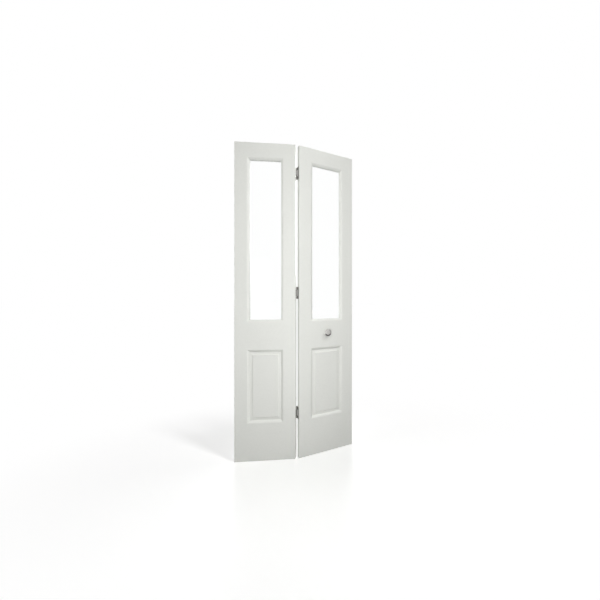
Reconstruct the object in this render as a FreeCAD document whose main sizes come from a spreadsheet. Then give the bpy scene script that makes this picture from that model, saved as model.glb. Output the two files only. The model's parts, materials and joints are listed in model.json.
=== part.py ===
"""Two-leaf bifold closet door: stile-and-rail leaves with a glazed lite over a raised panel.

Millimetres, +Z up.  The pivot leaf runs along +X with its front face to -Y, and the origin is
the mouth of its bottom pivot bore.  Each leaf is drawn in its own frame: x from its left edge,
y from the middle of its thickness with the front at -Y, z from its bottom edge.
"""
import FreeCAD, Part
import os
import re
import Sketcher
from FreeCAD import Placement, Rotation, Vector

SIZES = {
    # the leaves
    "leaf_width": 374.0,
    "leaf_height": 2007.0,
    "leaf_thickness": 35.0,
    "leaf_gap": 5.0,
    "fold_angle": 25.0,
    "arris": 1.5,
    # flat faces of the frame members, between their mouldings
    "stile_face": 76.0,
    "top_rail_face": 92.0,
    "lock_rail_face": 175.0,
    "bottom_rail_face": 239.0,
    "panel_opening": 462.0,
    # the moulding round each opening, and the groove behind it
    "moulding_width": 14.0,
    "moulding_depth": 10.0,
    "moulding_spread": 8.0,
    "quirk": 1.0,
    "groove_width": 9.0,
    # the raised panel
    "panel_float": 3.0,
    "tongue_clearance": 0.1,
    "bevel_width": 15.5,
    "bevel_rise": 1.6,
    "shoulder_width": 5.0,
    "field_depth": 7.5,
    # the glazing
    "glass_thickness": 4.0,
    "glass_clearance": 3.0,
    "block_length": 50.0,
    "block_inset": 30.0,
    # the tenons of the frame joints
    "tenon_thickness": 10.0,
    "tenon_length": 36.0,
    "tenon_margin": 15.0,
    "tenon_end_gap": 2.0,
    # the bores for the pivot and guide pins
    "pivot_setback": 25.0,
    "pivot_bore": 9.6,
    "pivot_depth": 50.0,
    # the hinges
    "hinge_from_top": 169.0,
    "hinge_from_bottom": 285.0,
    "hinge_height": 76.0,
    "plate_thickness": 1.8,
    "plate_width": 29.0,
    "plate_rim": 5.5,
    "plate_corner": 3.0,
    "inner_height": 40.0,
    "nest_clearance": 0.4,
    "pin_offset": 6.5,
    "pin_diameter": 3.2,
    "pin_clearance": 0.05,
    "pin_head": 5.0,
    "pin_head_height": 1.2,
    "barrel_diameter": 7.2,
    # the screw holes of the hinges
    "screw_line": 16.0,
    "outer_screw_spacing": 57.0,
    "inner_screw_spacing": 21.0,
    "screw_hole": 4.2,
    # the knob and its bolt
    "knob_rise": 10.0,
    "knob_diameter": 45.0,
    "knob_projection": 29.0,
    "knob_rim": 3.0,
    "knob_dome": 4.5,
    "knob_face": 20.0,
    "knob_neck": 15.0,
    "knob_neck_length": 7.0,
    "knob_foot": 21.0,
    "knob_foot_height": 2.5,
    "bolt_diameter": 4.2,
    "bolt_reach": 11.0,
    "bolt_head": 10.0,
    "bolt_head_height": 2.4,
    "bolt_hole": 5.0,
    "bolt_clearance": 0.05,
}

# levels and lines of a leaf, as formulas of the sizes
FRONT = "(-leaf_thickness / 2)"
BACK = "(leaf_thickness / 2)"
RIGHT_FACE = "(leaf_width - stile_face)"
PANEL_TOP = "(bottom_rail_face + panel_opening)"
LITE_BASE = "(bottom_rail_face + panel_opening + lock_rail_face)"
LITE_TOP = "(leaf_height - top_rail_face)"
GLASS_FRONT = "(-groove_width / 2)"
GLASS_BACK = "(glass_thickness - groove_width / 2)"
RAIL_FACES = (
    ("0", "bottom_rail_face"),
    (PANEL_TOP, LITE_BASE),
    (LITE_TOP, "leaf_height"),
)
HINGES = {
    "top": "(leaf_height - hinge_from_top)",
    "middle": "((leaf_height - hinge_from_top + hinge_from_bottom) / 2)",
    "bottom": "(hinge_from_bottom)",
}
PIN_LINE = "(leaf_thickness / 2 + pin_offset)"
KNOB_LEVEL = "((%s + %s) / 2 + knob_rise)" % (PANEL_TOP, LITE_BASE)

doc = FreeCAD.newDocument("bifold_door")
sheet = doc.addObject("Spreadsheet::Sheet", "Sizes")
for row, (alias, number) in enumerate(SIZES.items(), start=1):
    sheet.set("A%d" % row, alias)
    sheet.set("B%d" % row, str(number))
    sheet.setAlias("B%d" % row, alias)
doc.recompute()

sub_parts = []


def formula(text):
    """A formula of size names as an expression on the sheet."""
    return re.sub(r"[a-z_]+", lambda word: "Sizes." + word.group(0), text)


def value(text):
    """The number that a formula gives."""
    return float(sheet.evalExpression(formula(text)))


def new_body(label, placement, several=False):
    """A sub-part in the frame of its leaf; several solids make a group of like pieces."""
    body = doc.addObject("PartDesign::Body", label)
    body.Label = label
    body.AllowCompound = several
    body.Placement = placement
    sub_parts.append(body)
    return body


def new_sketch(body, plane, height="0", across="0", up="0"):
    """A sketch on one of the body's own planes, moved by formulas in that plane's frame."""
    support = [f for f in body.Origin.OriginFeatures if f.Role == plane + "_Plane"][0]
    sketch = body.newObject("Sketcher::SketchObject", body.Label + "_sketch")
    sketch.AttachmentSupport = [(support, "")]
    sketch.MapMode = "FlatFace"
    for axis, shift in (("x", across), ("y", up), ("z", height)):
        sketch.setExpression("AttachmentOffset.Base." + axis, formula(shift))
    return sketch


def pin_point(sketch, item, end, u, v):
    """Fix one end of a sketch item at a place given by two formulas."""
    for kind, text in (("DistanceX", u), ("DistanceY", v)):
        rule = Sketcher.Constraint(kind, -1, 1, item, end, value(text))
        number = sketch.addConstraint(rule)
        sketch.setExpression("Constraints[%d]" % number, formula(text))


def arc_between(first, last, centre_axis, centre_at):
    """The short arc between two places, with one coordinate of its centre given."""
    known, free = (0, 1) if centre_axis == "u" else (1, 0)
    near = (first[known] - centre_at) ** 2 + first[free] ** 2
    far = (last[known] - centre_at) ** 2 + last[free] ** 2
    centre = [0.0, 0.0]
    centre[known] = centre_at
    centre[free] = (far - near) / (2 * (last[free] - first[free]))
    centre = Vector(centre[0], centre[1], 0)
    middle = (first + last) / 2 - centre
    middle.normalize()
    return Part.Arc(first, centre + middle * (first - centre).Length, last)


def draw(sketch, points):
    """A closed outline.  A point is (u, v), or (u, v, axis, place) where an arc reaches it,
    with its centre at that place along that axis of the sketch."""
    places = [Vector(value(point[0]), value(point[1]), 0) for point in points]
    items = []
    for number, point in enumerate(points):
        start, end = places[number - 1], places[number]
        if len(point) == 2:
            items.append(sketch.addGeometry(Part.LineSegment(start, end), False))
            continue
        item = sketch.addGeometry(arc_between(start, end, point[2], value(point[3])), False)
        kind = "DistanceX" if point[2] == "u" else "DistanceY"
        rule = Sketcher.Constraint(kind, -1, 1, item, 3, value(point[3]))
        place = sketch.addConstraint(rule)
        sketch.setExpression("Constraints[%d]" % place, formula(point[3]))
        items.append(item)
    for number, point in enumerate(points):
        item, following = items[number], items[(number + 1) % len(items)]
        end = end_at(sketch, item, places[number])
        pin_point(sketch, item, end, point[0], point[1])
        start = end_at(sketch, following, places[number])
        sketch.addConstraint(Sketcher.Constraint("Coincident", item, end, following, start))


def end_at(sketch, item, place):
    """The number of the item's end that lies at a place."""
    gaps = [(sketch.getPoint(item, end) - place).Length for end in (1, 2)]
    return 1 if gaps[0] < gaps[1] else 2


def draw_circle(sketch, u, v, diameter):
    """A circle at a place given by formulas."""
    circle = Part.Circle(Vector(value(u), value(v), 0), Vector(0, 0, 1), value(diameter) / 2)
    item = sketch.addGeometry(circle, False)
    pin_point(sketch, item, 3, u, v)
    rule = Sketcher.Constraint("Diameter", item, value(diameter))
    number = sketch.addConstraint(rule)
    sketch.setExpression("Constraints[%d]" % number, formula(diameter))


def rectangle(low_u, low_v, high_u, high_v):
    """The corners of a rectangle, as formulas."""
    return [(low_u, low_v), (high_u, low_v), (high_u, high_v), (low_u, high_v)]


def pad(body, sketch, length, backwards=False):
    """Material along the sketch's normal, or against it."""
    feature = body.newObject("PartDesign::Pad", body.Label + "_pad")
    feature.Profile = sketch
    feature.setExpression("Length", formula(length))
    feature.Reversed = backwards
    doc.recompute()
    return feature


def cut(body, sketch, depth=None, forwards=False):
    """A pocket against the sketch's normal or along it, or both ways through everything."""
    before = body.Shape.Volume
    feature = body.newObject("PartDesign::Pocket", body.Label + "_pocket")
    feature.Profile = sketch
    if depth is None:
        feature.Type = "ThroughAll"
        feature.SideType = "Symmetric"
    else:
        feature.setExpression("Length", formula(depth))
        feature.Reversed = forwards
    doc.recompute()
    if body.Shape.Volume > before - 0.1:
        raise ValueError(feature.Label + " cuts nothing")
    return feature


def revolve(body, sketch, axis):
    """A full turn about one of the sketch's own axes."""
    feature = body.newObject("PartDesign::Revolution", body.Label + "_turned")
    feature.Profile = sketch
    feature.ReferenceAxis = (sketch, [axis])
    feature.Angle = 360.0
    doc.recompute()
    return feature


# ---- sections of the frame members: points are (along the leaf, through its thickness) ----

def plain_edge(place, inward, side):
    """A square edge with eased arrises; side "" goes front to back, "-" back to front."""
    turn = "%s %s arris" % (place, inward)
    return [
        (turn, side + FRONT),
        (place, side + "(arris - leaf_thickness / 2)", "along", turn),
        (place, side + "(leaf_thickness / 2 - arris)"),
        (turn, side + BACK, "along", turn),
    ]


def moulding_centre(face, outward):
    """The line behind a moulding on which the centre of its flat ovolo lies."""
    return "%s %s moulding_spread" % (face, "-" if outward == "+" else "+")


def moulded_edge(face, outward, side):
    """A flat ovolo with a quirk on both faces, and the groove between the two."""
    nose = "%s %s moulding_width" % (face, outward)
    centre = moulding_centre(face, outward)
    return [
        (face, side + FRONT),
        (face, side + "(quirk - leaf_thickness / 2)"),
        (nose, side + "(moulding_depth - leaf_thickness / 2)", "along", centre),
        (nose, side + "(-groove_width / 2)"),
        (face, side + "(-groove_width / 2)"),
        (face, side + "(groove_width / 2)"),
        (nose, side + "(groove_width / 2)"),
        (nose, side + "(leaf_thickness / 2 - moulding_depth)"),
        (face, side + "(leaf_thickness / 2 - quirk)", "along", centre),
        (face, side + BACK),
    ]


def upright(points):
    """Points of a section as seen from above: u along the leaf, v through it."""
    return [point[:2] + tuple("u" if word == "along" else word for word in point[2:])
            for point in points]


def level(points):
    """Points of a section as seen from the end of a rail: u through the leaf, v up it."""
    return [(point[1], point[0]) + tuple("v" if word == "along" else word for word in point[2:])
            for point in points]


LEFT_STILE = plain_edge("0", "+", "-") + moulded_edge("stile_face", "+", "")
RIGHT_STILE = moulded_edge(RIGHT_FACE, "-", "-") + plain_edge("leaf_width", "-", "")
BOTTOM_RAIL = plain_edge("0", "+", "-") + moulded_edge("bottom_rail_face", "+", "")
LOCK_RAIL = moulded_edge(PANEL_TOP, "-", "-") + moulded_edge(LITE_BASE, "+", "")
TOP_RAIL = moulded_edge(LITE_TOP, "-", "-") + plain_edge("leaf_height", "-", "")


def cut_glazing_rebate(body):
    """Take the back lip off round the lite, so that the glass goes in from behind."""
    sketch = new_sketch(body, "XZ", height="(groove_width / 2)")
    draw(sketch, rectangle("stile_face", LITE_BASE, RIGHT_FACE, LITE_TOP))
    cut(body, sketch, "(leaf_thickness / 2 + groove_width / 2)")


def tenon(low, high):
    """The section of the tenon of a rail whose face runs between two levels."""
    return rectangle("(-tenon_thickness / 2)", low + " + tenon_margin",
                     "(tenon_thickness / 2)", high + " - tenon_margin")


def bore_for_pin(body, across, from_top):
    """A bore for a pivot or guide pin in the end of an outer stile."""
    sketch = new_sketch(body, "XY", height="leaf_height" if from_top else "0")
    draw_circle(sketch, across, "0", "pivot_bore")
    cut(body, sketch, "pivot_depth", forwards=not from_top)


def make_stile(label, placement, outline, on_left):
    """A stile: its moulded section for the whole height, rebated, and mortised for the rails."""
    body = new_body(label, placement)
    sketch = new_sketch(body, "XY")
    draw(sketch, upright(outline))
    pad(body, sketch, "leaf_height")
    cut_glazing_rebate(body)
    nose = "stile_face + moulding_width" if on_left else RIGHT_FACE + " - moulding_width"
    mortises = new_sketch(body, "YZ", height=nose)
    for low, high in RAIL_FACES:
        draw(mortises, tenon(low, high))
    cut(body, mortises, "moulding_width + tenon_length + tenon_end_gap", forwards=not on_left)
    return body


def make_rail(label, placement, outline, faces, glazed):
    """A rail: its moulded section coped over the stiles, with a tenon at each end."""
    body = new_body(label, placement)
    sketch = new_sketch(body, "YZ", height="stile_face")
    draw(sketch, level(outline))
    pad(body, sketch, "leaf_width - 2 * stile_face")
    cope = new_sketch(body, "XY")
    draw(cope, upright(LEFT_STILE))
    draw(cope, upright(RIGHT_STILE))
    cut(body, cope)
    if glazed:
        cut_glazing_rebate(body)
    tenons = new_sketch(body, "YZ", height="stile_face - tenon_length")
    draw(tenons, tenon(*faces))
    pad(body, tenons, "leaf_width - 2 * (stile_face - tenon_length)")
    return body


# ---- what the frame of a leaf holds ----

def make_panel(label, placement):
    """The raised panel, its tongue loose in the groove so that it can swell."""
    body = new_body(label, placement)
    tongue = "(groove_width / 2 - tongue_clearance)"
    shoulder = tongue + " + bevel_rise"
    field = "(leaf_thickness / 2 - field_depth)"

    def raised(low, high):
        left, right = low + " + moulding_width", high + " - moulding_width"
        rows = [
            (low + " + panel_float", tongue),
            (left, tongue),
            (left + " + bevel_width", shoulder),
            (left + " + bevel_width + shoulder_width", field),
            (right + " - bevel_width - shoulder_width", field),
            (right + " - bevel_width", shoulder),
            (right, tongue),
            (high + " - panel_float", tongue),
        ]
        return rows + [(place, "-(%s)" % height) for place, height in reversed(rows)]

    sketch = new_sketch(body, "XY", height="(bottom_rail_face + panel_float)")
    draw(sketch, raised("stile_face", RIGHT_FACE))
    pad(body, sketch, "panel_opening - 2 * panel_float")
    ends = new_sketch(body, "YZ")
    section = raised("bottom_rail_face", PANEL_TOP)
    front, back = section[:8], section[8:]
    for side, face in ((front, BACK), (back, FRONT)):
        low_end, high_end = sorted((side[:4], side[4:]), key=lambda rows: value(rows[0][0]))
        for rows, outer in ((low_end, "bottom_rail_face"), (high_end, PANEL_TOP)):
            rows = sorted(rows, key=lambda row: (abs(value(row[0]) - value(outer)),
                                                 abs(value(row[1]))))
            outline = [(height, place) for place, height in rows]
            outline += [(face, rows[-1][0]), (face, rows[0][0])]
            draw(ends, outline)
    cut(body, ends)
    return body


def make_glass(label, placement):
    """The pane, against the front lip of the rebate."""
    body = new_body(label, placement)
    sketch = new_sketch(body, "XZ", height="(groove_width / 2)")
    draw(sketch, rectangle("stile_face + glass_clearance", LITE_BASE + " + glass_clearance",
                           RIGHT_FACE + " - glass_clearance", LITE_TOP + " - glass_clearance"))
    pad(body, sketch, "glass_thickness", backwards=True)
    return body


def make_setting_blocks(label, placement):
    """Two soft blocks that the pane stands on."""
    body = new_body(label, placement, several=True)
    sketch = new_sketch(body, "XZ", height="(groove_width / 2)")
    left = "stile_face + block_inset"
    right = RIGHT_FACE + " - block_inset"
    top = LITE_BASE + " + glass_clearance"
    draw(sketch, rectangle(left, LITE_BASE, left + " + block_length", top))
    draw(sketch, rectangle(right + " - block_length", LITE_BASE, right, top))
    pad(body, sketch, "glass_thickness", backwards=True)
    return body


def make_stop(label, placement, face, inward, along_z):
    """A mitred glazing stop whose back repeats the moulding of the frame."""
    body = new_body(label, placement)
    nose = "%s %s moulding_width" % (face, inward)
    low, high = (LITE_BASE, LITE_TOP) if along_z else ("stile_face", RIGHT_FACE)
    mitred = [
        (face, low),
        (nose, low + " + moulding_width"),
        (nose, high + " - moulding_width"),
        (face, high),
    ]
    sketch = new_sketch(body, "XZ", height="-" + GLASS_BACK)
    draw(sketch, mitred if along_z else [(place, height) for height, place in mitred])
    pad(body, sketch, "leaf_thickness / 2 - " + GLASS_BACK, backwards=True)
    waste = [
        (face, BACK),
        (face, "(leaf_thickness / 2 - quirk)"),
        (nose, "(leaf_thickness / 2 - moulding_depth)", "along", moulding_centre(face, inward)),
        (nose, BACK),
    ]
    shaping = new_sketch(body, "XY" if along_z else "YZ")
    draw(shaping, upright(waste) if along_z else level(waste))
    cut(body, shaping)
    return body


def make_leaf(name, placement, left, right):
    """The frame, panel and glazing of a leaf; left and right name its two stiles."""
    left_stile = make_stile("%s_%s_stile" % (name, left), placement, LEFT_STILE, True)
    right_stile = make_stile("%s_%s_stile" % (name, right), placement, RIGHT_STILE, False)
    make_rail(name + "_top_rail", placement, TOP_RAIL, RAIL_FACES[2], True)
    lock_rail = make_rail(name + "_lock_rail", placement, LOCK_RAIL, RAIL_FACES[1], True)
    make_rail(name + "_bottom_rail", placement, BOTTOM_RAIL, RAIL_FACES[0], False)
    make_panel(name + "_raised_panel", placement)
    make_glass(name + "_glass_pane", placement)
    make_setting_blocks(name + "_setting_blocks", placement)
    make_stop("%s_%s_glazing_stop" % (name, left), placement, "stile_face", "+", True)
    make_stop("%s_%s_glazing_stop" % (name, right), placement, RIGHT_FACE, "-", True)
    make_stop(name + "_top_glazing_stop", placement, LITE_TOP, "-", False)
    make_stop(name + "_bottom_glazing_stop", placement, LITE_BASE, "+", False)
    return left_stile, right_stile, lock_rail


# ---- hinges: an inner plate nested in the window of an outer one, on a common pin ----

INNER_REACH = "(plate_width - plate_rim - nest_clearance)"


def drill_plate(body, level_of_hinge, spacing):
    """The two screw holes of a plate."""
    sketch = new_sketch(body, "YZ")
    for sign in "+-":
        at_level = "%s %s %s / 2" % (level_of_hinge, sign, spacing)
        draw_circle(sketch, PIN_LINE + " - screw_line", at_level, "screw_hole")
    cut(body, sketch)
    return body


def make_barrel(body, pin_across, low, high):
    """A knuckle of the hinge, rolled round the pin."""
    sketch = new_sketch(body, "XY", height=low)
    draw_circle(sketch, pin_across, PIN_LINE, "barrel_diameter")
    pad(body, sketch, "(%s) - (%s)" % (high, low))


def bore_barrels(body, pin_across):
    """The bore for the pin through every knuckle of a plate."""
    sketch = new_sketch(body, "XY")
    draw_circle(sketch, pin_across, PIN_LINE, "pin_diameter + 2 * pin_clearance")
    cut(body, sketch, "leaf_height", forwards=True)


def make_inner_plate(label, placement, level_of_hinge):
    """The plate on the pivot leaf's edge, with one knuckle."""
    body = new_body(label, placement)
    low = level_of_hinge + " - inner_height / 2"
    high = level_of_hinge + " + inner_height / 2"
    pin_across = "leaf_width + leaf_gap / 2"
    sketch = new_sketch(body, "YZ", height="leaf_width")
    draw(sketch, rectangle("%s - %s" % (PIN_LINE, INNER_REACH), low, PIN_LINE, high))
    pad(body, sketch, "plate_thickness")
    make_barrel(body, pin_across, low, high)
    bore_barrels(body, pin_across)
    return drill_plate(body, level_of_hinge, "inner_screw_spacing")


def make_outer_plate(label, placement, level_of_hinge):
    """The plate on the guide leaf's edge, with a window and a knuckle at each end."""
    body = new_body(label, placement)
    low = level_of_hinge + " - hinge_height / 2"
    high = level_of_hinge + " + hinge_height / 2"
    window_low = level_of_hinge + " - inner_height / 2 - nest_clearance"
    window_high = level_of_hinge + " + inner_height / 2 + nest_clearance"
    window_tip = PIN_LINE + " - plate_width + plate_rim"
    tip = PIN_LINE + " - plate_width"
    shoulder = tip + " + plate_corner"
    sketch = new_sketch(body, "YZ")
    draw(sketch, [
        (PIN_LINE, low),
        (shoulder, low),
        (tip, low + " + plate_corner", "u", shoulder),
        (tip, high + " - plate_corner"),
        (shoulder, high, "u", shoulder),
        (PIN_LINE, high),
        (PIN_LINE, window_high),
        (window_tip, window_high),
        (window_tip, window_low),
        (PIN_LINE, window_low),
    ])
    pad(body, sketch, "plate_thickness", backwards=True)
    make_barrel(body, "-leaf_gap / 2", low, window_low)
    make_barrel(body, "-leaf_gap / 2", window_high, high)
    bore_barrels(body, "-leaf_gap / 2")
    return drill_plate(body, level_of_hinge, "outer_screw_spacing")


def make_hinge_pin(label, placement, level_of_hinge):
    """The pin, with its head on top of the outer plate's upper knuckle."""
    body = new_body(label, placement)
    low = level_of_hinge + " - hinge_height / 2"
    high = level_of_hinge + " + hinge_height / 2"
    sketch = new_sketch(body, "XZ", height="-" + PIN_LINE, across="(-leaf_gap / 2)")
    draw(sketch, [
        ("0", low),
        ("pin_diameter / 2", low),
        ("pin_diameter / 2", high),
        ("pin_head / 2", high),
        ("pin_head / 2", high + " + pin_head_height"),
        ("0", high + " + pin_head_height"),
    ])
    revolve(body, sketch, "V_Axis")
    return body


def make_knob(label, placement):
    """The turned knob, tapped from behind."""
    body = new_body(label, placement)
    sketch = new_sketch(body, "XY", height=KNOB_LEVEL, across="leaf_width / 2")
    foot = FRONT + " - knob_foot_height"
    neck_end = foot + " - knob_neck_length"
    rim = FRONT + " - knob_projection + knob_dome"
    draw(sketch, [
        ("bolt_diameter / 2 + bolt_clearance", FRONT),
        ("knob_foot / 2", FRONT),
        ("knob_foot / 2", foot),
        ("knob_neck / 2", foot),
        ("knob_neck / 2", neck_end),
        ("knob_diameter / 2", rim + " + knob_rim"),
        ("knob_diameter / 2", rim),
        ("knob_face / 2", FRONT + " - knob_projection"),
        ("0", FRONT + " - knob_projection"),
        ("0", FRONT + " - bolt_reach - 1"),
        ("bolt_diameter / 2 + bolt_clearance", FRONT + " - bolt_reach - 1"),
    ])
    revolve(body, sketch, "V_Axis")
    return body


def make_knob_bolt(label, placement):
    """The bolt that holds the knob from the back of the leaf."""
    body = new_body(label, placement)
    sketch = new_sketch(body, "XY", height=KNOB_LEVEL, across="leaf_width / 2")
    draw(sketch, [
        ("0", FRONT + " - bolt_reach"),
        ("bolt_diameter / 2", FRONT + " - bolt_reach"),
        ("bolt_diameter / 2", BACK),
        ("bolt_head / 2", BACK),
        ("bolt_head / 2", BACK + " + bolt_head_height"),
        ("0", BACK + " + bolt_head_height"),
    ])
    revolve(body, sketch, "V_Axis")
    return body


# ---- the door ----

pivot_leaf_at = Placement(Vector(-value("pivot_setback"), 0, 0), Rotation())
guide_leaf_flat = Placement(
    Vector(value("leaf_width + leaf_gap - pivot_setback"), 0, 0), Rotation())
pin_at = Vector(value("leaf_width + leaf_gap / 2 - pivot_setback"), value(PIN_LINE), 0)
fold = Placement(Vector(), Rotation(Vector(0, 0, 1), value("fold_angle")), pin_at)
guide_leaf_at = fold.multiply(guide_leaf_flat)

pivot_stile, _, _ = make_leaf("pivot_leaf", pivot_leaf_at, "outer", "hinge")
bore_for_pin(pivot_stile, "pivot_setback", from_top=False)
bore_for_pin(pivot_stile, "pivot_setback", from_top=True)

_, guide_stile, guide_lock_rail = make_leaf("guide_leaf", guide_leaf_at, "hinge", "outer")
bore_for_pin(guide_stile, "leaf_width - pivot_setback", from_top=True)

bolt_way = new_sketch(guide_lock_rail, "XZ")
draw_circle(bolt_way, "leaf_width / 2", KNOB_LEVEL, "bolt_hole")
cut(guide_lock_rail, bolt_way)
make_knob("knob", guide_leaf_at)
make_knob_bolt("knob_bolt", guide_leaf_at)

for place, hinge_level in HINGES.items():
    make_inner_plate(place + "_hinge_inner_plate", pivot_leaf_at, hinge_level)
    make_outer_plate(place + "_hinge_outer_plate", guide_leaf_at, hinge_level)
    make_hinge_pin(place + "_hinge_pin", guide_leaf_at, hinge_level)

doc.recompute()
for item in doc.Objects:
    if "Invalid" in item.State or "Error" in item.State:
        raise ValueError(item.Label + " did not compute")
for body in sub_parts:
    if body.Shape.isNull() or not body.Shape.isValid():
        raise ValueError(body.Label + " has no valid shape")

os.makedirs("parts", exist_ok=True)
for body in sub_parts:
    body.Shape.exportStep("parts/%s.step" % body.Label)
    print(body.Label, len(body.Shape.Solids), round(body.Shape.Volume))
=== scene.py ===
"""The looks of a two-leaf bifold closet door: satin paint, clear lites and small steel hardware.

Metres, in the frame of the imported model: +Z up, the pivot leaf along +X with its front to -Y.
A leaf's own frame has x from its left edge, y from the middle of its thickness and z from below.
"""
import json
import math

import bmesh
import bpy
from mathutils import Matrix, Vector


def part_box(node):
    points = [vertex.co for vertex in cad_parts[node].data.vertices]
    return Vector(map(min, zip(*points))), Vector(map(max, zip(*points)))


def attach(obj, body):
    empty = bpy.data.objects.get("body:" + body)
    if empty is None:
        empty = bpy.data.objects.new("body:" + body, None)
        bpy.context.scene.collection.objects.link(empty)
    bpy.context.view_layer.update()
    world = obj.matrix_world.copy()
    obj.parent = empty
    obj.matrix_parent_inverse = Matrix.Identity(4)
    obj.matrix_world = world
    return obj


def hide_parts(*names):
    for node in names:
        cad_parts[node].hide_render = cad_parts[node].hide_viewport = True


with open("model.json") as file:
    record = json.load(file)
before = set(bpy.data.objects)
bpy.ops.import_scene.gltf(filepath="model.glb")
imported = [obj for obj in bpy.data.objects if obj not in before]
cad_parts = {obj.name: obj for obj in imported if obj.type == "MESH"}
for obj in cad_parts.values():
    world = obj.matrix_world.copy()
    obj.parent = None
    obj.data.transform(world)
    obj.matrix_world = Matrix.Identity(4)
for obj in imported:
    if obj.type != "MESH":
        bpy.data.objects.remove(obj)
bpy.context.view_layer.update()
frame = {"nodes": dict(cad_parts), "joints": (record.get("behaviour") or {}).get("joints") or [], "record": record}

# ---- places that the frame gives ----

PIVOT_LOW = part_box("pivot_leaf_outer_stile")[0]
PIVOT_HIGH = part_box("pivot_leaf_hinge_stile")[1]
LEAF_WIDTH = PIVOT_HIGH.x - PIVOT_LOW.x
HALF_THICKNESS = PIVOT_HIGH.y
FOLD = frame["joints"][0]
PIN = Vector((FOLD["pos_m"][0], FOLD["pos_m"][1], 0))
HALF_GAP = PIN.x - PIVOT_HIGH.x
REST_ANGLE = -FOLD["range_deg"][0]
KNOB_LEVEL = (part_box("knob")[0].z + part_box("knob")[1].z) / 2

LEAVES = {
    "pivot_leaf": Matrix.Translation((PIVOT_LOW.x, 0, 0)),
    "guide_leaf": (Matrix.Translation(PIN) @ Matrix.Rotation(math.radians(REST_ANGLE), 4, "Z")
                   @ Matrix.Translation((HALF_GAP, -PIN.y, 0))),
}
KNOB_SEAT, BOLT_SEAT = [
    LEAVES["guide_leaf"] @ Matrix.Translation((LEAF_WIDTH / 2, face, KNOB_LEVEL))
    for face in (-HALF_THICKNESS, HALF_THICKNESS)
]
HINGES = ("top", "middle", "bottom")

# ---- sizes of the hardware ----

PLATE_THICKNESS = 0.0018
PIN_TO_SCREWS = 0.016
OUTER_SCREW_SPACING = 0.057
INNER_SCREW_SPACING = 0.021
SCREW_LENGTH = 0.010
SCREW_RADIUS = 0.0020
SCREW_HEAD_RADIUS = 0.0036
SCREW_HEAD_HEIGHT = 0.0011
SCREW_RECESS = {"half_width": 0.00035, "reach": 0.0016, "depth": 0.0011}
PIN_RADIUS = 0.0016
PIN_HEAD_RADIUS = 0.0025
PIN_HEAD_HEIGHT = 0.0012
BOLT_LENGTH = 0.044
BOLT_RADIUS = 0.0021
BOLT_HEAD_RADIUS = 0.005
BOLT_HEAD_HEIGHT = 0.0024
BOLT_RECESS = {"half_width": 0.0005, "reach": 0.0021, "depth": 0.0014}
RECESS_TAPER = 0.45
KNOB_RADIUS = 0.0225
KNOB_PROJECTION = 0.029

# Radii over which the knob's bright face turns to its rougher rim, darkened with painted shade, levels
# below the knob's middle over which the painted shade deepens, and the lathe's rings in a metre.
KNOB_FACE_EDGE = (0.0125, 0.0165)
KNOB_SHADE_LEVELS = (-0.006, -0.012)
KNOB_RINGS = 2600

SHARP_EDGE = math.radians(35)
SPIN_SEAM = 1e-7
CARVING_SEAM = 1e-6


# ---- shader nodes as expressions ----

class Socket:
    """An output of a shader node, on which arithmetic adds Math nodes."""

    def __init__(self, tree, output):
        self.tree = tree
        self.output = output

    def math(self, operation, first, second):
        return self.tree.node("ShaderNodeMath", {"operation": operation}, {0: first, 1: second})

    def __add__(self, other):
        return self.math("ADD", self, other)

    def __radd__(self, other):
        return self.math("ADD", other, self)

    def __sub__(self, other):
        return self.math("SUBTRACT", self, other)

    def __rsub__(self, other):
        return self.math("SUBTRACT", other, self)

    def __mul__(self, other):
        return self.math("MULTIPLY", self, other)

    def __rmul__(self, other):
        return self.math("MULTIPLY", other, self)

    def or_more(self, other):
        return self.math("MAXIMUM", self, other)


class NodeTree:
    """The shader nodes of a material or of the world."""

    def __init__(self, owner):
        owner.use_nodes = True
        self.tree = owner.node_tree

    def node(self, kind, settings=None, values=None, output=0):
        """A new node: its settings first, then the values or links of its sockets."""
        made = self.tree.nodes.new(kind)
        for name, setting in (settings or {}).items():
            setattr(made, name, setting)
        for name, item in (values or {}).items():
            self.feed(made.inputs[name], item)
        return Socket(self, made.outputs[output])

    def feed(self, socket, item):
        """Link a socket to an expression, or give it a value."""
        if isinstance(item, Socket):
            self.tree.links.new(item.output, socket)
        else:
            socket.default_value = item

    def surface(self, ending, shader):
        """Link a shader to the tree's end."""
        self.feed(self.tree.nodes[ending].inputs["Surface"], shader)

    def seen_directly(self):
        """1 for a ray from the eye or from a mirror or glass, 0 for stray light."""
        kinds = ("Is Camera Ray", "Is Glossy Ray", "Is Transmission Ray")
        camera, mirror, glass = [self.node("ShaderNodeLightPath", output=kind) for kind in kinds]
        return camera.or_more(mirror.or_more(glass))


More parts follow.
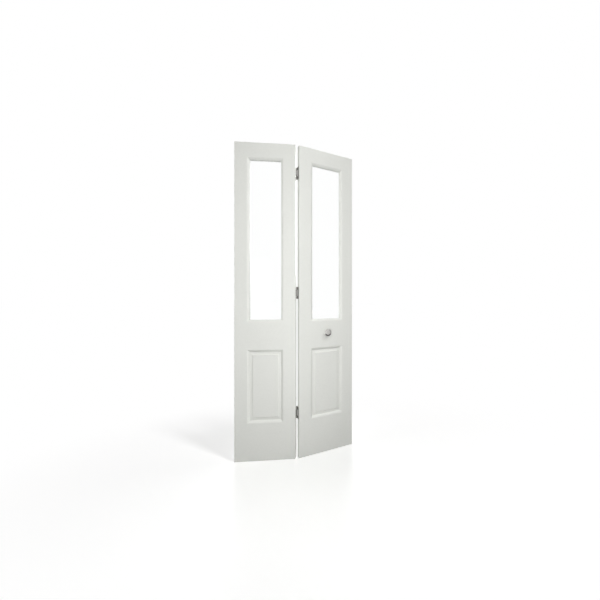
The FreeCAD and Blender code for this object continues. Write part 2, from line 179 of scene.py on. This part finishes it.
class Finish(NodeTree):
    """A node material for one finish of the door, or for the floor."""

    def __init__(self, name, **surface):
        self.material = bpy.data.materials.new(name)
        super().__init__(self.material)
        self.set(**surface)

    def set(self, **surface):
        """Values or links of the surface shader, named with _ for a space."""
        for name, item in surface.items():
            self.feed(self.tree.nodes["Principled BSDF"].inputs[name.replace("_", " ")], item)

    def place(self, scale=(1, 1, 1)):
        """Object coordinates; a scale under 1 draws a pattern out along that axis."""
        coordinates = self.node("ShaderNodeTexCoord", output="Object")
        return self.node("ShaderNodeMapping", values={"Vector": coordinates, "Scale": scale})

    def noise(self, size, detail=2.0, roughness=0.5, scale=(1, 1, 1)):
        """Noise from 0 to 1 with features of about a size in metres."""
        values = {"Vector": self.place(scale), "Scale": 1 / size, "Detail": detail,
                  "Roughness": roughness}
        return self.node("ShaderNodeTexNoise", values=values)

    def length(self, vector):
        """The length of a vector."""
        return self.node("ShaderNodeVectorMath", {"operation": "LENGTH"}, {0: vector},
                         output="Value")

    def blend(self, factor, first, second):
        """One colour turning into another; either may be the result of a blend."""
        colours = [item if isinstance(item, Socket) else item + (1,) for item in (first, second)]
        return self.node("ShaderNodeMix", {"data_type": "RGBA"},
                         {0: factor, 6: colours[0], 7: colours[1]}, output=2)

    def ramp(self, measure, start, end):
        """0 at the start of a measure, 1 at its end, smooth between."""
        return self.node("ShaderNodeMapRange", {"interpolation_type": "SMOOTHSTEP"},
                         {"Value": measure, "From Min": start, "From Max": end})

    def bump(self, height, distance, strength=1.0):
        """A relief that rises by a distance where its height is 1."""
        values = {"Height": height, "Distance": distance, "Strength": strength}
        return self.node("ShaderNodeBump", values=values)


# ---- finishes ----

def white_paint():
    """Satin off-white enamel, sprayed, with a fine orange peel."""
    paint = Finish("white_paint", Specular_IOR_Level=0.42)
    cloud = paint.noise(0.16, detail=3)
    mottle = paint.noise(0.011, detail=3, roughness=0.6)
    peel = paint.noise(0.0024, detail=2)
    paint.set(
        Base_Color=paint.blend(cloud * 0.35 + mottle * 0.65, (0.700, 0.709, 0.672),
                               (0.776, 0.785, 0.748)),
        Roughness=0.32 + mottle * 0.08 + cloud * 0.04,
        Normal=paint.bump(peel + mottle * 1.5, distance=0.00006),
    )
    return paint.material


def clear_glass():
    """Clear float glass with the faintest waviness."""
    glass = Finish("clear_glass", Transmission_Weight=1.0, IOR=1.5, Alpha=0.4)
    wave = glass.noise(0.25, detail=1)
    glass.set(
        Base_Color=glass.blend(wave, (0.975, 0.99, 0.985), (0.985, 0.995, 0.99)),
        Roughness=wave * 0.01,
        Normal=glass.bump(wave, distance=0.0002, strength=0.2),
    )
    return glass.material


def soft_rubber():
    """Matt black rubber."""
    rubber = Finish("soft_rubber")
    grain = rubber.noise(0.0015, detail=3)
    rubber.set(
        Base_Color=rubber.blend(grain, (0.018, 0.018, 0.019), (0.04, 0.04, 0.041)),
        Roughness=0.75 + grain * 0.15,
        Normal=rubber.bump(grain, distance=0.0001),
    )
    return rubber.material


def plated_steel(name, dark, light, roughness, grain_size, grain_scale=(1, 1, 1)):
    """Dull plated steel with a fine grain, which may be drawn out as brushing."""
    metal = Finish(name, Metallic=1.0)
    grain = metal.noise(grain_size, detail=3, roughness=0.65, scale=grain_scale)
    tarnish = metal.noise(0.006, detail=2)
    metal.set(
        Base_Color=metal.blend(grain * 0.6 + tarnish * 0.4, dark, light),
        Roughness=roughness + grain * 0.12 + tarnish * 0.08,
        Normal=metal.bump(grain, distance=0.00001, strength=0.5),
    )
    return metal.material


def satin_nickel():
    """Nickel brushed in rings on the lathe, rougher at the rim, with painted shade darkening the rim, deepest
    below the middle.
    """
    metal = Finish("satin_nickel", Metallic=1.0)
    location, rotation, _ = KNOB_SEAT.inverted().decompose()
    coordinates = metal.node("ShaderNodeTexCoord", output="Object")
    centred = metal.node("ShaderNodeMapping", values={
        "Vector": coordinates, "Location": location, "Rotation": rotation.to_euler()})
    across = metal.node("ShaderNodeVectorMath", {"operation": "MULTIPLY"},
                        {0: centred, 1: (1, 0, 1)})
    radius = metal.length(across)
    level = metal.node("ShaderNodeSeparateXYZ", values={"Vector": centred}, output="Z")
    rings = metal.node("ShaderNodeTexNoise", {"noise_dimensions": "1D"},
                       {"W": radius, "Scale": KNOB_RINGS, "Detail": 3, "Roughness": 0.7})
    cloud = metal.noise(0.007, detail=3)
    # Painted shade: the rim is darkened all round, and much more below the knob's middle.
    rim = metal.ramp(radius, *KNOB_FACE_EDGE)
    below = metal.ramp(level, *KNOB_SHADE_LEVELS)
    bright = metal.blend(rings * 0.5 + cloud * 0.5, (0.38, 0.372, 0.358), (0.545, 0.535, 0.515))
    metal.set(
        Base_Color=metal.blend(rim * (0.26 + below * 0.66), bright, (0.03, 0.029, 0.027)),
        Roughness=0.30 + rings * 0.12 + cloud * 0.06 + rim * 0.08,
        Normal=metal.bump(rings, distance=0.00001, strength=0.4),
    )
    return metal.material


FINISHES = {
    "white_paint": white_paint(),
    "clear_glass": clear_glass(),
    "soft_rubber": soft_rubber(),
    "hinge_steel": plated_steel("hinge_steel", dark=(0.10, 0.096, 0.09), light=(0.24, 0.23, 0.22),
                                roughness=0.30, grain_size=0.0012, grain_scale=(1, 1, 0.15)),
    "screw_steel": plated_steel("screw_steel", dark=(0.24, 0.23, 0.22), light=(0.44, 0.43, 0.41),
                                roughness=0.26, grain_size=0.0008),
    "satin_nickel": satin_nickel(),
}


def dress_frame():
    """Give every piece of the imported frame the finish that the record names."""
    for subpart in frame["record"]["subparts"]:
        materials = frame["nodes"][subpart["node"]].data.materials
        materials.clear()
        materials.append(FINISHES[subpart["material_slot"]])


# ---- shapes: outlines of (radius, height) are turned about +Z ----

def turned(outline, rounding, steps, segments):
    """A solid of revolution, rounded at each corner of its outline but the two on the axis."""
    bm = bmesh.new()
    points = [bm.verts.new((radius, 0, height)) for radius, height in outline]
    for first, second in zip(points, points[1:]):
        bm.edges.new((first, second))
    bmesh.ops.bevel(bm, geom=points[1:-1], offset=rounding, affect="VERTICES",
                    segments=segments, profile=0.5, material=-1, clamp_overlap=True)
    bmesh.ops.spin(bm, geom=bm.verts[:] + bm.edges[:], cent=(0, 0, 0), axis=(0, 0, 1),
                   angle=math.tau, steps=steps, use_merge=True)
    bmesh.ops.remove_doubles(bm, verts=bm.verts, dist=SPIN_SEAM)
    bmesh.ops.recalc_face_normals(bm, faces=bm.faces)
    return bm


def cross_recess(half_width, reach, depth, top):
    """A cross that tapers from a top down to a depth, as a driver's tip does."""
    bm = bmesh.new()
    for across in ((reach, half_width), (half_width, reach)):
        arm = bmesh.ops.create_cube(bm, size=1)["verts"]
        bmesh.ops.scale(bm, verts=arm, vec=(2 * across[0], 2 * across[1], 2 * depth))
        bmesh.ops.translate(bm, verts=arm, vec=(0, 0, top))
        bottom = [vert for vert in arm if vert.co.z < top]
        bmesh.ops.scale(bm, verts=bottom, vec=(RECESS_TAPER, RECESS_TAPER, 1))
    return bm


def as_object(bm, name):
    """A new object in the scene, made of a shape that is used up."""
    mesh = bpy.data.meshes.new(name)
    bm.to_mesh(mesh)
    bm.free()
    made = bpy.data.objects.new(name, mesh)
    bpy.context.scene.collection.objects.link(made)
    return made


def carved(bm, cutter):
    """A shape less what a cutter takes out of it."""
    body = as_object(bm, "blank")
    tool = as_object(cutter, "cutter")
    carving = body.modifiers.new("carving", "BOOLEAN")
    carving.operation = "DIFFERENCE"
    carving.solver = "EXACT"
    carving.use_self = True
    carving.object = tool
    graph = bpy.context.evaluated_depsgraph_get()
    result = bmesh.new()
    result.from_mesh(body.evaluated_get(graph).to_mesh())
    bmesh.ops.remove_doubles(result, verts=result.verts, dist=CARVING_SEAM)
    for used in (body, tool):
        mesh = used.data
        bpy.data.objects.remove(used)
        bpy.data.meshes.remove(mesh)
    return result


def facing(direction):
    """A turn that takes +Z to a direction."""
    return Vector(direction).to_track_quat("Z", "Y").to_matrix().to_4x4()


def piece(name, bm, places, body, slot, replaced=()):
    """A finished piece: a shape at one or more places, riding on a body."""
    whole = bmesh.new()
    for place in places:
        copy = bpy.data.meshes.new("copy")
        bm.to_mesh(copy)
        copy.transform(place)
        whole.from_mesh(copy)
        bpy.data.meshes.remove(copy)
    bm.free()
    made = as_object(whole, name)
    made.data.shade_smooth()
    made.data.set_sharp_from_angle(angle=SHARP_EDGE)
    made.data.materials.append(FINISHES[slot])
    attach(made, body)
    if replaced:
        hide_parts(*replaced)


# ---- pieces ----

def make_knob():
    """The turned knob: foot, waisted neck, and a broad face with a slight crown."""
    shape = turned([
        (0.0, 0.0), (0.0105, 0.0), (0.0105, 0.0022),                  # foot
        (0.0078, 0.0030), (0.0074, 0.0100),                           # neck
        (0.0120, 0.0150), (0.0195, 0.0188),                           # bell
        (KNOB_RADIUS, 0.0215), (KNOB_RADIUS, 0.0245),                 # rim
        (0.0190, 0.0268), (0.0110, 0.0284), (0.0, KNOB_PROJECTION),   # crown
    ], rounding=0.0022, steps=96, segments=6)
    piece("closet_knob", shape, [KNOB_SEAT @ facing((0, -1, 0))], "guide_leaf", "satin_nickel",
          ["knob"])


def make_knob_bolt():
    """The bolt through the lock rail, with a cross recess in its head."""
    bolt = turned([
        (0.0, -BOLT_LENGTH), (BOLT_RADIUS, -BOLT_LENGTH), (BOLT_RADIUS, 0.0),       # shank
        (BOLT_HEAD_RADIUS, 0.0), (BOLT_HEAD_RADIUS, 0.0009),                        # head's edge
        (0.0032, BOLT_HEAD_HEIGHT), (0.0, BOLT_HEAD_HEIGHT),                        # head's top
    ], rounding=0.0004, steps=48, segments=3)
    recess = cross_recess(top=BOLT_HEAD_HEIGHT, **BOLT_RECESS)
    piece("knob_screw", carved(bolt, recess), [BOLT_SEAT @ facing((0, 1, 0))], "guide_leaf",
          "screw_steel", ["knob_bolt"])


def oval_screw():
    """A wood screw to its oval head, with a cross recess."""
    screw = turned([
        (0.0, -SCREW_LENGTH), (SCREW_RADIUS, -SCREW_LENGTH), (SCREW_RADIUS, 0.0),   # shank
        (SCREW_HEAD_RADIUS, 0.0), (0.0028, 0.0006), (0.0014, 0.0010),               # oval
        (0.0, SCREW_HEAD_HEIGHT),
    ], rounding=0.0002, steps=32, segments=2)
    return carved(screw, cross_recess(top=SCREW_HEAD_HEIGHT, **SCREW_RECESS))


def make_hinge_screws():
    """Two screws in each plate of each hinge."""
    sides = (
        ("pivot_leaf", LEAF_WIDTH + PLATE_THICKNESS, (1, 0, 0), INNER_SCREW_SPACING, "inner"),
        ("guide_leaf", -PLATE_THICKNESS, (-1, 0, 0), OUTER_SCREW_SPACING, "outer"),
    )
    for leaf, seat, outward, spacing, plate in sides:
        for hinge in HINGES:
            low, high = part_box("%s_hinge_%s_plate" % (hinge, plate))
            level = (low.z + high.z) / 2
            places = [LEAVES[leaf] @ Matrix.Translation((seat, PIN.y - PIN_TO_SCREWS,
                                                         level + side * spacing / 2))
                      @ facing(outward) for side in (-1, 1)]
            piece("%s_hinge_%s_screws" % (hinge, plate), oval_screw(), places, leaf,
                  "screw_steel")


def make_hinge_pins():
    """Pins with a rounded head above the upper knuckle."""
    for hinge in HINGES:
        low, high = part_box(hinge + "_hinge_outer_plate")
        shape = turned([
            (0.0, low.z), (PIN_RADIUS, low.z), (PIN_RADIUS, high.z),                # shank
            (PIN_HEAD_RADIUS, high.z), (PIN_HEAD_RADIUS, high.z + 0.0005),          # head's edge
            (0.0013, high.z + PIN_HEAD_HEIGHT), (0.0, high.z + PIN_HEAD_HEIGHT),    # head's top
        ], rounding=0.0003, steps=32, segments=3)
        piece(hinge + "_hinge_pin_turned", shape, [Matrix.Translation(PIN)], "guide_leaf",
              "hinge_steel", [hinge + "_hinge_pin"])


# ---- floor, light and camera ----

WHITE = (1, 1, 1, 1)
STAGE_CENTRE = Vector((0.34, 0.05, 1.0))

# What the floor does depends on the distance from its middle, and a span gives the distances
# over which it changes: it sends back more light, turns to plain white and loses its polish.
FLOOR_SIZE = 60
FLOOR_MIDDLE = (0.32, -0.05, 0.0)
FLOOR_STRETCH = (0.65, 1, 1)
BOUNCE_NEAR = (0.3, 0.3, 0.3)
BOUNCE_FAR = (0.75, 0.75, 0.75)
BOUNCE_SPAN = (0.1, 0.6)
FLOOR_SHOWN = (1.2, 1.2, 1.2)
FLOOR_GLOW = 0.515
WHITE_SPAN = (0.45, 1.35)
POLISH = 0.42
POLISH_LOSS = 0.25
POLISH_SPAN = (0.05, 0.7)
POLISH_ROUGHNESS = 0.3

WORLD_COLOUR = (1, 0.99, 0.975)
WORLD_LIGHT = 0.16

CAMERA_PLACE = Vector((0.6827, -1.9779, 1.0152))
CAMERA_TURN = math.radians(6.08)
CAMERA_LENS = 18
CAMERA_SENSOR = 36
CAMERA_SHIFT = -0.1333


def make_floor():
    """A pale floor, white as seen, with some polish near the door and less bounce there."""
    bm = bmesh.new()
    bmesh.ops.create_grid(bm, x_segments=1, y_segments=1, size=FLOOR_SIZE)
    made = as_object(bm, "floor")
    stone = Finish("floor_surface")
    offset = stone.node("ShaderNodeVectorMath", {"operation": "SUBTRACT"},
                        {0: stone.place(FLOOR_STRETCH), 1: FLOOR_MIDDLE})
    distance = stone.length(offset)
    bounce = stone.node("ShaderNodeBsdfDiffuse", values={
        "Color": stone.blend(stone.ramp(distance, *BOUNCE_SPAN), BOUNCE_NEAR, BOUNCE_FAR)})
    shown = stone.node("ShaderNodeBsdfDiffuse", values={"Color": FLOOR_SHOWN + (1,)})
    glow = stone.node("ShaderNodeEmission", values={"Color": WHITE, "Strength": FLOOR_GLOW})
    near = stone.node("ShaderNodeAddShader", values={0: shown, 1: glow})
    plain = stone.node("ShaderNodeEmission", values={"Color": WHITE, "Strength": 1})
    matt = stone.node("ShaderNodeMixShader", values={
        0: stone.ramp(distance, *WHITE_SPAN), 1: near, 2: plain})
    gloss = stone.node("ShaderNodeBsdfGlossy", values={
        "Color": WHITE, "Roughness": POLISH_ROUGHNESS})
    polished = stone.node("ShaderNodeMixShader", values={
        0: POLISH - stone.ramp(distance, *POLISH_SPAN) * POLISH_LOSS, 1: matt, 2: gloss})
    stone.surface("Material Output", stone.node("ShaderNodeMixShader", values={
        0: stone.seen_directly(), 1: bounce, 2: polished}))
    made.data.materials.append(stone.material)
    return made


def make_world():
    """White as seen, and a faint warm white as light."""
    bpy.context.scene.world = bpy.data.worlds.new("studio")
    studio = NodeTree(bpy.context.scene.world)
    light = studio.node("ShaderNodeBackground", values={
        "Color": WORLD_COLOUR + (1,), "Strength": WORLD_LIGHT})
    white = studio.node("ShaderNodeBackground", values={"Color": WHITE, "Strength": 1})
    studio.surface("World Output", studio.node("ShaderNodeMixShader", values={
        0: studio.seen_directly(), 1: light, 2: white}))


def add_lamp(name, azimuth, elevation, distance, width, height, watts, rise=0.0, spared=None):
    """A soft box that looks at the door from an azimuth clockwise of its front.

    Its light doesn't fall on the object that it spares.
    """
    turn, lift = math.radians(azimuth), math.radians(elevation)
    away = Vector((math.sin(turn) * math.cos(lift), -math.cos(turn) * math.cos(lift),
                   math.sin(lift)))
    data = bpy.data.lights.new(name, "AREA")
    data.shape = "RECTANGLE"
    data.size = width
    data.size_y = height
    data.energy = watts
    lamp = bpy.data.objects.new(name, data)
    bpy.context.scene.collection.objects.link(lamp)
    lamp.location = STAGE_CENTRE + away * distance + Vector((0, 0, rise))
    lamp.rotation_euler = away.to_track_quat("Z", "Y").to_euler()
    lamp.visible_camera = False
    lamp.visible_transmission = False
    if spared:
        unlit = bpy.data.collections.new(name + "_spares")
        unlit.objects.link(spared)
        unlit.collection_objects[0].light_linking.link_state = "EXCLUDE"
        lamp.light_linking.receiver_collection = unlit


def add_camera():
    """A level camera in front of the guide leaf."""
    data = bpy.data.cameras.new("camera")
    data.lens = CAMERA_LENS
    data.sensor_width = CAMERA_SENSOR
    data.shift_x = CAMERA_SHIFT
    camera = bpy.data.objects.new("camera", data)
    bpy.context.scene.collection.objects.link(camera)
    camera.location = CAMERA_PLACE
    camera.rotation_euler = (math.radians(90), 0, -CAMERA_TURN)
    bpy.context.scene.camera = camera


dress_frame()
make_knob()
make_knob_bolt()
make_hinge_screws()
make_hinge_pins()
floor = make_floor()
make_world()
add_lamp("key", azimuth=51, elevation=50, distance=9, width=0.9, height=0.9, watts=240)
add_lamp("strip", azimuth=7, elevation=0, distance=1.5, width=0.3, height=2.4, watts=19.5,
         rise=0.2, spared=floor)
add_lamp("front", azimuth=-25, elevation=0, distance=6, width=2, height=2, watts=20,
         spared=floor)
add_lamp("side", azimuth=-105, elevation=10, distance=6, width=2.5, height=2.5, watts=213,
         spared=floor)
add_lamp("back", azimuth=160, elevation=20, distance=6, width=3, height=3, watts=240,
         spared=floor)
add_camera()
bpy.context.scene.view_settings.view_transform = "Standard"
